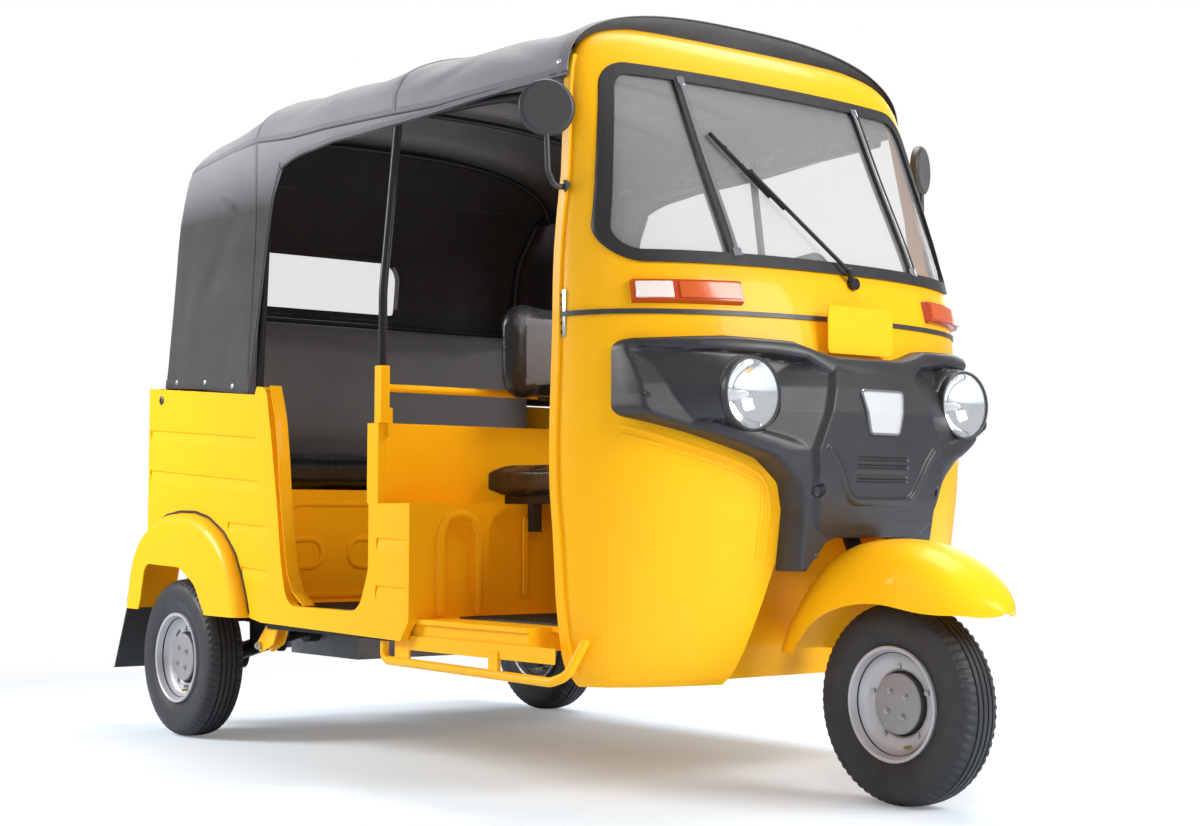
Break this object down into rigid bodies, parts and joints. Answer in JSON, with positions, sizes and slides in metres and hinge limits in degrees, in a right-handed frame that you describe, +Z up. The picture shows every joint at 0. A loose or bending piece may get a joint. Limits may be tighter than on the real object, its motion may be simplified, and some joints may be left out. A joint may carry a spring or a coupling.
{
  "type": "auto rickshaw",
  "caption": "Three-wheeled passenger auto rickshaw with an open cab, fabric hood, curved windscreen, steered front wheel and a rear engine lid.",
  "frame": {"origin": "on the ground under the middle of the bounding box", "axes": "+X forward, +Y to the vehicle's left, +Z up"},
  "size_m": [2.635, 1.308, 1.704],
  "materials": {
    "yellow_paint": "gloss",
    "black_paint": "satin",
    "silver_paint": "satin",
    "grey_cast": "cast",
    "face_plastic": "matt",
    "black_plastic": "matt",
    "seal_rubber": "matt",
    "tyre_rubber": "matt",
    "screen_glass": "clear",
    "lamp_glass": "clear",
    "amber_plastic": "clear",
    "red_plastic": "clear",
    "plate_yellow": "gloss",
    "canopy_fabric": "coated",
    "window_vinyl": "clear",
    "seat_vinyl": "satin",
    "mirror_face": "polished"
  },
  "bodies": {
    "body": {"cab_shell_upper": "yellow_paint", "cab_shell_lower": "yellow_paint", "windscreen_glass": "screen_glass", "windscreen_seal": "seal_rubber", "belt_trim": "black_plastic", "front_indicators": "amber_plastic", "face_panel": "face_plastic", "headlamps": "lamp_glass", "plates": "plate_yellow", "wiper": "black_paint", "dashboard": "black_plastic", "wheelhouse": "black_paint", "steering_head": "black_paint", "rear_arches": "yellow_paint", "side_panels": "yellow_paint", "rear_panel": "yellow_paint", "seat_base": "yellow_paint", "rear_cushion": "seat_vinyl", "rear_backrest": "seat_vinyl", "partition": "yellow_paint", "floor": "yellow_paint", "chassis": "black_paint", "rear_arms": "black_paint", "engine_block": "grey_cast", "silencer": "black_paint", "canopy": "canopy_fabric", "rear_window": "window_vinyl", "canopy_frame": "black_paint", "driver_seat": "seat_vinyl", "driver_seat_base": "black_paint", "driver_backrest": "seat_vinyl", "side_guards": "yellow_paint", "mirrors": "black_plastic", "mud_flaps": "seal_rubber", "rear_bumper": "black_paint", "tail_lamps": "red_plastic"},
    "steering": {"handlebar": "black_paint", "front_fork": "black_paint", "front_mudguard": "yellow_paint"},
    "front_wheel": {"front_tyre": "tyre_rubber", "front_rim": "silver_paint"},
    "rear_wheel_right": {"rear_tyre_right": "tyre_rubber", "rear_rim_right": "silver_paint"},
    "rear_wheel_left": {"rear_tyre_left": "tyre_rubber", "rear_rim_left": "silver_paint"},
    "hatch": {"engine_hatch": "yellow_paint"}
  },
  "joints": [
    {"name": "steer", "type": "hinge", "parent": "body", "child": "steering", "pos_m": [0.79297, 0, 0.77], "axis": [-0.4226, 0, 0.9063], "range_deg": [-40, 40]},
    {"name": "front_wheel_spin", "type": "hinge", "parent": "steering", "child": "front_wheel", "pos_m": [1.0555, 0, 0.207], "axis": [0, 1, 0], "continuous": true},
    {"name": "rear_wheel_right_spin", "type": "hinge", "parent": "body", "child": "rear_wheel_right", "pos_m": [-0.9445, -0.59, 0.207], "axis": [0, 1, 0], "continuous": true},
    {"name": "rear_wheel_left_spin", "type": "hinge", "parent": "body", "child": "rear_wheel_left", "pos_m": [-0.9445, 0.59, 0.207], "axis": [0, 1, 0], "continuous": true},
    {"name": "hatch_hinge", "type": "hinge", "parent": "body", "child": "hatch", "pos_m": [-1.174, 0, 0.804], "axis": [0, 1, 0], "range_deg": [0, 80]}
  ]
}
